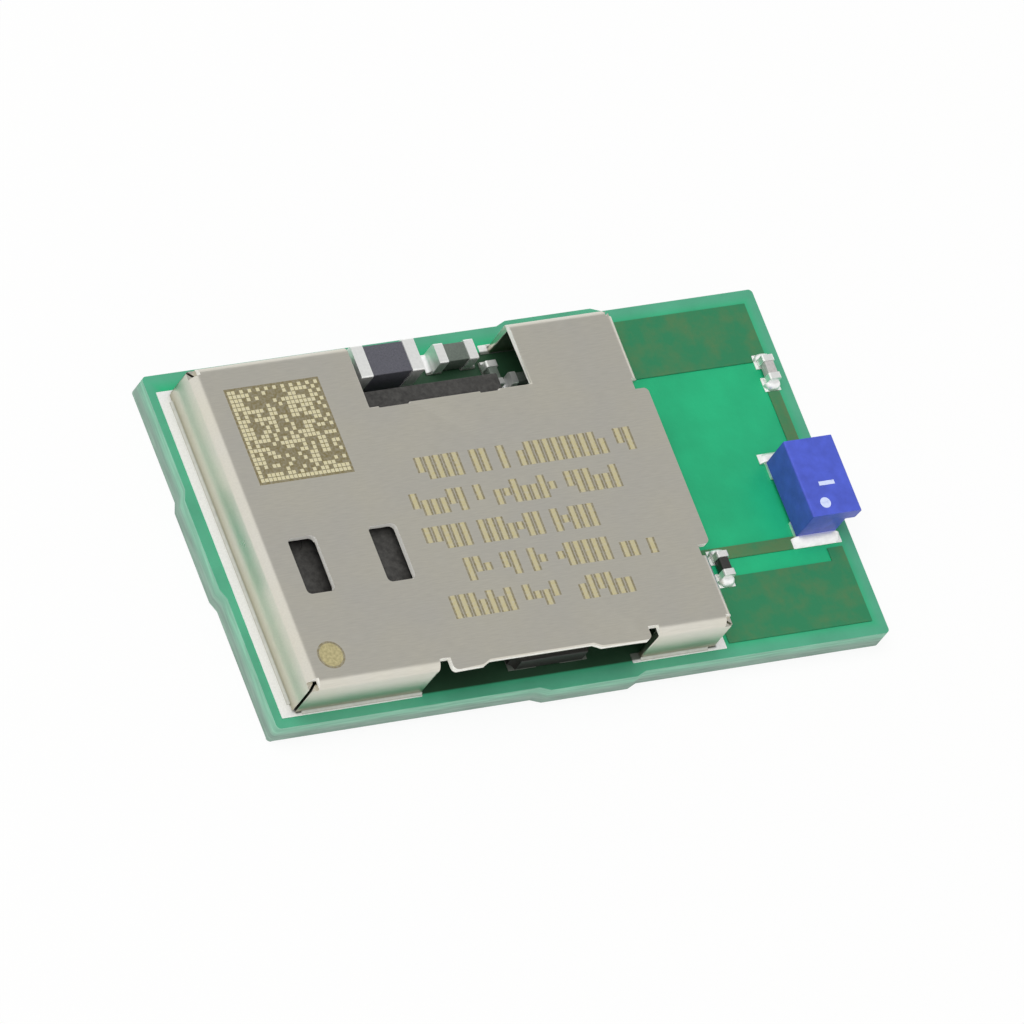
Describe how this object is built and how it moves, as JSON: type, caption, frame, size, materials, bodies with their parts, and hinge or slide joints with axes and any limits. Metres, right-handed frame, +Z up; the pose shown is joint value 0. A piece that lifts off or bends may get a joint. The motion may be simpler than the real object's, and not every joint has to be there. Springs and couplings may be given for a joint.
{
  "type": "shielded radio module",
  "caption": "Surface-mount short-range radio module: green circuit board with a folded metal shield can over its circuit and a blue ceramic chip antenna on the bare end.",
  "frame": {"origin": "middle of the board's underside, which lies on the board it is soldered to", "axes": "+X along the board towards the antenna, +Y towards the long edge with the can's open window, +Z up out of the board"},
  "size_m": [0.0157, 0.0088, 0.0018],
  "materials": {
    "solder_mask": "green solder mask on glass-epoxy laminate",
    "masked_copper": "green solder mask over copper",
    "gold_plate": "flat gold flash",
    "tinned_land": "matt tin",
    "shield_sheet": "rolled nickel-silver sheet",
    "solder": "reflowed bright solder",
    "moulding_compound": "black moulding compound",
    "end_band": "bright tin plate",
    "lid_sheet": "plated lid",
    "dark_ceramic": "black ceramic",
    "ferrite": "dark sintered ferrite",
    "brown_ceramic": "brown-grey capacitor ceramic",
    "pale_ceramic": "pale grey ceramic",
    "blue_ceramic": "blue coated ceramic"
  },
  "bodies": {
    "root": {"circuit_board": "solder_mask", "rear_copper": "masked_copper", "front_copper": "masked_copper", "feed_trace": "masked_copper", "tuning_trace": "masked_copper", "contact_pads": "gold_plate", "shield_lands": "tinned_land", "component_lands": "tinned_land", "shield_can": "shield_sheet", "shield_solder": "solder", "radio_chip_body": "moulding_compound", "radio_chip_leads": "end_band", "memory_chip_body": "moulding_compound", "memory_chip_leads": "end_band", "crystal_base": "dark_ceramic", "crystal_lid": "lid_sheet", "inductor_body": "ferrite", "inductor_end_bands": "end_band", "inductor_solder": "solder", "decoupling_body": "brown_ceramic", "decoupling_end_bands": "end_band", "decoupling_solder": "solder", "filter_body": "pale_ceramic", "filter_end_bands": "end_band", "filter_solder": "solder", "matching_body": "dark_ceramic", "matching_end_bands": "end_band", "matching_solder": "solder", "tuning_body": "pale_ceramic", "tuning_end_bands": "end_band", "tuning_solder": "solder", "bypass_bodies": "brown_ceramic", "bypass_end_bands": "end_band", "bypass_solder": "solder", "load_bodies": "brown_ceramic", "load_end_bands": "end_band", "load_solder": "solder", "antenna_body": "blue_ceramic", "antenna_terminals": "end_band", "antenna_solder": "solder"}
  },
  "joints": []
}
